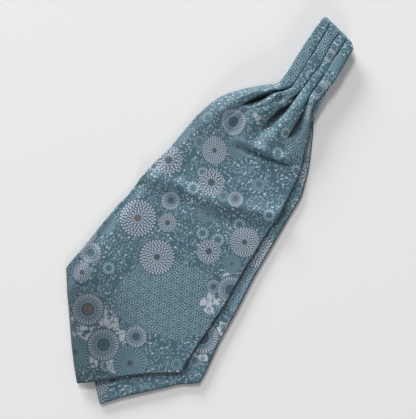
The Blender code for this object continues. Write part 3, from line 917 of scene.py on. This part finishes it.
GROUND = (0.049, 0.110, 0.148)
DEEP = (0.040, 0.082, 0.112)
MIST = (0.080, 0.155, 0.198)
PALE = (0.365, 0.405, 0.475)
CLOUD = (0.440, 0.465, 0.540)
RAY = (0.165, 0.275, 0.320)
LINE = (0.250, 0.365, 0.420)
PLUM = (0.135, 0.100, 0.085)
INK = (0.060, 0.078, 0.095)

# The repeat of the print: its size, how far it shifts at each step up, and where its large
# motifs and fillings lie, in mm.
REPEAT = (220.0, 262.0)
SHIFT = 120.0
HEADS = [  # flower heads: x, y, radius, warmth of the centre
    (-57, -49, 18.5, 1.0), (-19, -70, 17.5, 0.0), (44, -8, 15.0, 0.0), (69, -212, 13.5, 0.0),
]
BUDS = [  # smaller flower heads: x, y, radius, warmth of the centre
    (-66, 16, 12.5, 0.0), (-17, 22, 11.5, 0.0), (20, -36, 10.5, 0.0), (-72, -125, 8.5, 0.0),
    (-30, -36, 8.0, 0.0),
]
DISCS = [  # ringed medallions: x, y, radius, warmth of the core
    (-46, -152, 16.5, 1.0), (-13, -172, 16.5, 0.0), (60, -55, 14.0, 0.0), (73, -178, 13.5, 0.0),
    (-52, -206, 13.0, 0.0),
]
RINGS = [  # smaller medallions: x, y, radius, warmth of the core
    (9, -147, 11.0, 0.0), (-76, -104, 11.0, 0.0), (-40, -16, 9.5, 0.0), (83, -20, 10.0, 1.0),
    (12, 22, 8.0, 1.0), (-104, -70, 7.0, 1.0), (44, -62, 7.0, 0.0), (-88, -90, 8.0, 0.0),
]
RAYS = [  # fine ray discs: x, y, radius, unused
    (-32, -194, 15.5, 0.0), (19, -172, 16.5, 0.0), (-82, -72, 11.0, 0.0), (46, -33, 9.0, 0.0),
    (89, -196, 10.5, 0.0), (25, -215, 13.0, 0.0), (-2, -6, 8.0, 0.0), (-76, -146, 9.5, 0.0),
]
PATCHES = [  # pale filling between medallions: x, y, half width, half height
    (-16, -169, 39, 24), (55, -64, 15, 25), (94, -160, 9, 6), (89, -142, 9, 5),
]
LATTICE = [  # field of scalloped rings: x, y, half width, half height
    (19, -96, 46, 38), (2, -118, 40, 20), (98, -60, 18, 26), (-78, -150, 14, 24),
]


def around(places, reach):
    """A table with copies of the places that cross an edge of the repeat."""
    w, h = REPEAT
    x0, y0 = -w / 2, -234.0
    out = []
    for p in places:
        for kx in (-2, -1, 0, 1, 2):
            for ky in (-1, 0, 1):
                x, y = p[0] + kx * w + ky * SHIFT, p[1] + ky * h
                r = reach(p)
                if x0 - r < x < x0 + w + r and y0 - r < y < y0 + h + r:
                    out.append((x, y) + tuple(p[2:]))
    return out


def print_colour(cl, calm_band):
    # the repeat
    w, h = REPEAT
    drops_up = ((cl.y + 234.0) / h).floor()
    y = cl.y - drops_up * h
    x = cl.x - drops_up * SHIFT
    x = x - ((x + w / 2) / w).floor() * w
    wobble = (cl.noise(21, 1.0, (3.7, 8.1)) - 0.5) * 22.0
    lattice_zone = cl.blob(x, y, LATTICE, wobble)
    # 0 on the neckband, which carries only the fine motifs
    open_part = cl.y.step(148.0, 138.0) if calm_band else 1.0
    patch_zone = cl.blob(x, y, PATCHES, wobble) * open_part

    # ground with tendrils and leaves
    r, a, h1, lx, ly = cl.scatter(11.4, 0.75, (0.3, 0.8))
    hand = h1[0].above(0.5) * 2.0 - 1.0
    size = h1[1] * 2.0 + 4.2
    arm = ((r / 2.9) - a * hand).fract()
    curl = (arm - 0.5).abs().step(0.19, 0.09) * r.step(size, size - 0.5) * r.step(0.5, 0.9)
    ends = ((a * hand * -1.0 + 0.1).fract() + r / 6.6).step(1.80, 1.60)
    curl = curl * ends
    leafy = tick_ring(r - size, a, 0.5, 2.6, 9.0, 0.34) * h1[0].step(0.52, 0.46)
    r2, a2, h2, dx, dy = cl.scatter(4.3, 0.9, (7.1, 1.7))
    along, aside = (a2 * math.tau).cos() * r2, (a2 * math.tau).sin() * r2
    leaf = (aside.abs() / (h2[0] * 0.35 + 0.50) + along * along / 2.6).step(1.2, 0.8)
    some = cl.noise(30, 0.0, (9.1, 4.2)).step(0.35, 0.60) * 0.35 + 0.08
    drops = leaf * (h2[1] - some).above(0.0)
    line_mask = (curl * 0.66).high(drops * 0.86).high(leafy * 0.72)

    # the field of scalloped rings, in offset rows, with a sprig where three rings meet
    pitch = 12.4
    high = pitch * 0.866
    row = (cl.y / high).floor()
    qx = ((cl.x / pitch + row * 0.5).fract() - 0.5) * pitch
    qy = ((cl.y / high).fract() - 0.5) * high
    qr, qa = cl.polar(qx, qy)
    scallop = ((qa * 8.0).fract() - 0.5).abs() * 1.1
    rings = (qr + scallop).band(4.4, 0.44, 0.22).high(qr.band(1.9, 0.34, 0.22) * 0.9)
    ox = ((cl.x / pitch + row * 0.5 + 0.5).fract() - 0.5) * pitch
    orr, oa = cl.polar(ox, qy.abs() - 3.58)
    lens = (orr.low(2.9) * (math.pi / 2.9)).sin().high(0.0) * 0.30
    leaves = (((oa * 3.0 + 0.25).fract() - 0.5).abs() - lens).step(0.07, -0.07) * orr.step(2.9, 2.7)
    field = rings.high(leaves * 0.95)
    line_mask = line_mask + (field - line_mask) * lattice_zone
    colour = cl.paint(GROUND, LINE, line_mask * 0.86)
    colour = cl.paint(colour, CLOUD, drops * h2[2].above(0.72) * (1.0 - lattice_zone) * 0.9)

    # small daisies and small ringed discs
    r4, a4, h4, ex, ey = cl.scatter(27.0, 0.8, (4.6, 0.5))
    open_ground = 1.0 - lattice_zone
    here = h4[0].above(0.40) * open_ground
    size4 = h4[1] * 2.2 + 5.2
    u4 = r4 / size4
    flower4 = h4[1].above(0.42)
    colour = cl.paint(colour, GROUND, u4.step(1.18, 1.10) * here)
    petals = daisy(u4 * 6.0, a4, 6.0, 13.0) * flower4
    rings4 = (u4.band(0.92, 0.055, 0.03).high(u4.band(0.62, 0.05, 0.03))) * (1.0 - flower4)
    colour = cl.paint(colour, LINE, petals.high(rings4) * here * 0.95)
    colour = cl.paint(colour, MIST, u4.step(0.44, 0.38) * here)
    colour = cl.paint(colour, DEEP, u4.band(0.42, 0.05, 0.03).high(u4.step(0.16, 0.12)) * here)

    # pale patches with small blots, between the medallions
    shape = cl.noise(11.0, 1.5, (1.9, 5.3), 0.45)
    fewer = cl.y.step(40.0, 80.0) * 0.075 if calm_band else 0.0  # smaller pieces on the gathers
    patch = (shape - fewer).step(0.455, 0.467) * patch_zone
    r3, a3, h3, bx, by = cl.scatter(6.2, 0.85, (2.2, 9.4))
    blot = (r3 / ((a3 * math.tau * 2.0).cos() * 0.5 + 1.3)).step(1.25, 1.0) * h3[0].above(0.25)
    bright = 0.97 - cl.y.step(40.0, 80.0) * 0.22 if calm_band else 0.97
    seam = cl.noise(7.5, 0.0, (6.6, 2.4)).band(0.5, 0.035, 0.015)
    colour = cl.paint(colour, CLOUD, patch * (1.0 - blot * 0.92) * (1.0 - seam * 0.9) * bright)

    # fine ray discs
    q, a7, _ = cl.nearest(x, y, around(RAYS, lambda p: p[2]))
    s = q * 17.0
    long = ((a7 * 19.0).fract() - 0.5).abs()
    colour = cl.paint(colour, GROUND, s.step(17.6, 17.0))
    rays = ((a7 * 27.0).fract() - 0.5).abs().step(0.27, 0.13) * s.band(11.4, 4.6, 0.3)
    colour = cl.paint(colour, RAY, rays * 0.95)
    colour = cl.paint(colour, PALE, (s + long * 1.6).band(16.8, 0.32, 0.2) * 0.42)
    colour = cl.paint(colour, PALE, s.band(6.2, 0.30, 0.2) * 0.5)
    colour = cl.paint(colour, PALE, tick_ring(s, a7, 3.0, 5.2, 16.0, 0.45) * 0.42)
    colour = cl.paint(colour, DEEP, s.step(2.4, 2.0))

    # flower heads
    for places, size, sets in ((BUDS, 11.0, 1), (HEADS, 18.7, 2)):
        q, a5, warm = cl.nearest(x, y, around(places, lambda p: p[2]))
        s = q * size + (1.0 - open_part) * 99.0
        colour = cl.paint(colour, GROUND, s.step(size + 1.4, size + 0.4))
        heads = petal_rings(s, a5, 2.7, 5.1, sets + 1, 13.0, 9.0, 0.0)
        heads = heads.high(petal_rings(s, a5, 5.25, 5.1, sets + 1, 13.0, 9.0, 0.5))
        colour = cl.paint(colour, CLOUD, heads * s.step(size + 1.6, size + 1.2) * 0.84)
        colour = cl.paint(colour, INK, s.step(3.0, 2.6))
        colour = cl.paint(colour, PLUM, s.step(3.0, 2.6) * warm)

    # ringed medallions
    for places, size, ticks in ((RINGS, 10.0, 21.0), (DISCS, 16.3, 31.0)):
        q, a6, warm = cl.nearest(x, y, around(places, lambda p: p[2]))
        s = q * size + ((1.0 - open_part) * 99.0 if size > 12 else 0.0)
        k = size / 16.3
        rim = s + ((a6 * (ticks - 7.0)).fract() - 0.5).abs() * 1.1
        colour = cl.paint(colour, DEEP, rim.step(size + 0.6, size + 0.2))
        colour = cl.paint(colour, GROUND, rim.step(size - 0.4, size - 0.8))
        colour = cl.paint(colour, PALE, rim.band(15.4 * k, 0.42, 0.2) * 0.50)
        outer = tick_ring(s, a6, 11.7 * k, 14.6 * k, ticks, 0.52)
        colour = cl.paint(colour, CLOUD, outer * 0.86)
        colour = cl.paint(colour, MIST, s.band(9.2 * k, 1.7 * k, 0.2) * 0.8)
        colour = cl.paint(colour, PALE, s.band(10.8 * k, 0.34, 0.18) * 0.66)
        colour = cl.paint(colour, PALE, s.band(7.3 * k, 0.36, 0.18) * 0.72)
        if size > 12:
            dots = s.band(9.2, 0.7, 0.25) * ((a6 * 16.0).fract() - 0.5).abs().step(0.27, 0.17)
            colour = cl.paint(colour, PALE, dots * 0.42)
        colour = cl.paint(colour, DEEP, s.step(5.8 * k, 5.4 * k))
        colour = cl.paint(colour, PLUM, s.step(5.0 * k, 4.4 * k) * warm * (0.7 if size < 12 else 1.0))
        colour = cl.paint(colour, MIST, s.band(3.4 * k, 0.3, 0.2) * 0.8)
    return colour


def silk_material(name, turn=0.0, shift=(0.0, 0.0), calm_band=False):
    m = bpy.data.materials.new(name)
    m.use_nodes = True
    t = m.node_tree
    bsdf = t.nodes["Principled BSDF"]
    cl = Cloth(t, turn, shift)
    colour = print_colour(cl, calm_band)
    # dye and weave: cloudy and fine unevenness
    cloud = cl.noise(9.0, 2.0, (5.0, 5.0))
    grain = cl.noise(0.9, 2.0, (1.0, 7.0), 0.7)
    shade = (cloud - 0.5) * 0.16 + (grain - 0.5) * 0.42 + 1.0
    # painted shade: the cloth is darkened along its right edges and pointed ends, which lie in their own shade, and
    # down in the pockets of the gathers
    uv = t.nodes.new("ShaderNodeUVMap")
    uv.uv_map = "rim"
    rim, pocket = cl.parts(uv.outputs[0])
    shade = shade * (1.0 - rim.step(0.0017, 0.0009) * 0.80) * (1.0 - pocket.step(0.10, 0.85) * 0.72)
    # darker towards the pointed end on the left, lighter on the right of the blade from y 10 up and towards the
    # neckband from y 128 to 150
    darker_towards_tip = cl.y.step(-95.0, -160.0) * (cl.x + cl.y * 0.35).step(-20.0, -85.0)
    lighter = cl.y.step(10.0, 50.0) * (cl.x - cl.y * 0.12).step(-16.0, 6.0)
    # painted highlight: the lit crest of the crease ridge across the blade, near x -36, is made lighter as a streak of
    # sheen
    dx, dy = (cl.x + 36.0) / 17.0, (cl.y - 6.0 - (cl.x + 36.0) * 0.25) / 8.0
    painted_ridge_sheen = (dx * dx + dy * dy).step(1.0, 0.1)
    shade = shade * (1.0 - darker_towards_tip * 0.46 + lighter * 0.20 + cl.y.step(128.0, 150.0) * 0.20 + painted_ridge_sheen * 0.30)
    n = t.nodes.new("ShaderNodeVectorMath")
    n.operation = "SCALE"
    t.links.new(colour, n.inputs[0])
    t.links.new(shade.socket, n.inputs["Scale"])
    t.links.new(n.outputs[0], bsdf.inputs["Base Color"])
    # twill ribs
    rib = ((cl.x + cl.y * 1.9) * (math.tau / 0.62)).sin() * 0.5 + 0.5
    cross = ((cl.x * 1.9 - cl.y) * (math.tau / 0.9)).sin() * 0.25
    height = rib + cross + grain * 1.2
    b = t.nodes.new("ShaderNodeBump")
    b.inputs["Strength"].default_value = 0.22
    b.inputs["Distance"].default_value = 0.00012
    t.links.new(height.socket, b.inputs["Height"])
    t.links.new(b.outputs[0], bsdf.inputs["Normal"])
    t.links.new(((cloud - 0.5) * 0.2 + 0.56).socket, bsdf.inputs["Roughness"])
    bsdf.inputs["Sheen Weight"].default_value = 0.35
    bsdf.inputs["Sheen Roughness"].default_value = 0.4
    bsdf.inputs["Sheen Tint"].default_value = (0.75, 0.88, 1.0, 1)
    bsdf.inputs["Specular IOR Level"].default_value = 0.4
    return m


def plain(name, colour, roughness=0.6):
    m = bpy.data.materials.new(name)
    m.use_nodes = True
    b = m.node_tree.nodes["Principled BSDF"]
    b.inputs["Base Color"].default_value = (*colour, 1)
    b.inputs["Roughness"].default_value = roughness
    return m


silk = silk_material("printed_silk", calm_band=True)
silk_under = silk_material("printed_silk_under", 0.0, (210.0, 330.0))
for ob in (front, back_lining, back_face):
    ob.data.materials.append(silk)
for ob in (front_lining, band):
    ob.data.materials.append(silk_under)

# ------------------------------------------------------------------ attach each piece to the root body and hide the parts it replaces
for ob, nodes, slot in (
    (front, ("front_blade_face", "front_neckband"), "printed_silk"),
    (front_lining, ("front_blade_lining",), "printed_silk"),
    (back_lining, ("back_blade_lining",), "printed_silk"),
    (back_face, ("back_blade_face",), "printed_silk"),
    (band, ("neckband_fold", "back_neckband"), "pleated_silk"),
):
    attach(ob, "root")
    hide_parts(*nodes)

# ------------------------------------------------------------------ floor, light, camera
floor_mesh = bpy.data.meshes.new("floor")
floor_mesh.from_pydata([(-3, -3, 0), (3, -3, 0), (3, 3, 0), (-3, 3, 0)], [], [(0, 1, 2, 3)])
floor = bpy.data.objects.new("floor", floor_mesh)
floor.location.z = -0.0002
bpy.context.scene.collection.objects.link(floor)
fm = plain("floor_paper", (0.80, 0.80, 0.80))
fm.node_tree.nodes["Principled BSDF"].inputs["Roughness"].default_value = 0.9
floor_mesh.materials.append(fm)

scene = bpy.context.scene
scene.view_settings.view_transform = "Standard"
world = bpy.data.worlds.new("studio")
scene.world = world
world.use_nodes = True
world.node_tree.nodes["Background"].inputs[0].default_value = (1, 1, 1, 1)
world.node_tree.nodes["Background"].inputs[1].default_value = 0.27


def area(name, direction, elevation, dist, size, power, high=None):
    light = bpy.data.lights.new(name, "AREA")
    light.shape = "ELLIPSE" if high else "DISK"
    light.size = size
    if high:
        light.size_y = high
    light.energy = power
    ob = bpy.data.objects.new(name, light)
    e = math.radians(elevation)
    dx, dy = direction
    n = math.hypot(dx, dy)
    ob.location = (dx / n * math.cos(e) * dist, dy / n * math.cos(e) * dist, math.sin(e) * dist)
    ob.rotation_euler = Vector(-ob.location).to_track_quat("-Z", "Y").to_euler()
    scene.collection.objects.link(ob)
    return ob


area("key", (-0.79, 0.61), 46, 6.4, 1.8, 190)
area("low_window", (-0.86, 0.50), 15, 10.0, 5.0, 1180, high=2.8)
area("low_return", (0.7, -0.7), 20, 9.0, 4.5, 230, high=2.4)

cam_data = bpy.data.cameras.new("camera")
cam_data.type = "PERSP"
cam_data.sensor_width = 36
cam_data.lens = 128.9
cam = bpy.data.objects.new("camera", cam_data)
cam.location = (-0.0044, -0.0021, 1.5)
cam.rotation_euler = (0, 0, math.radians(34.8))
scene.collection.objects.link(cam)
scene.camera = cam
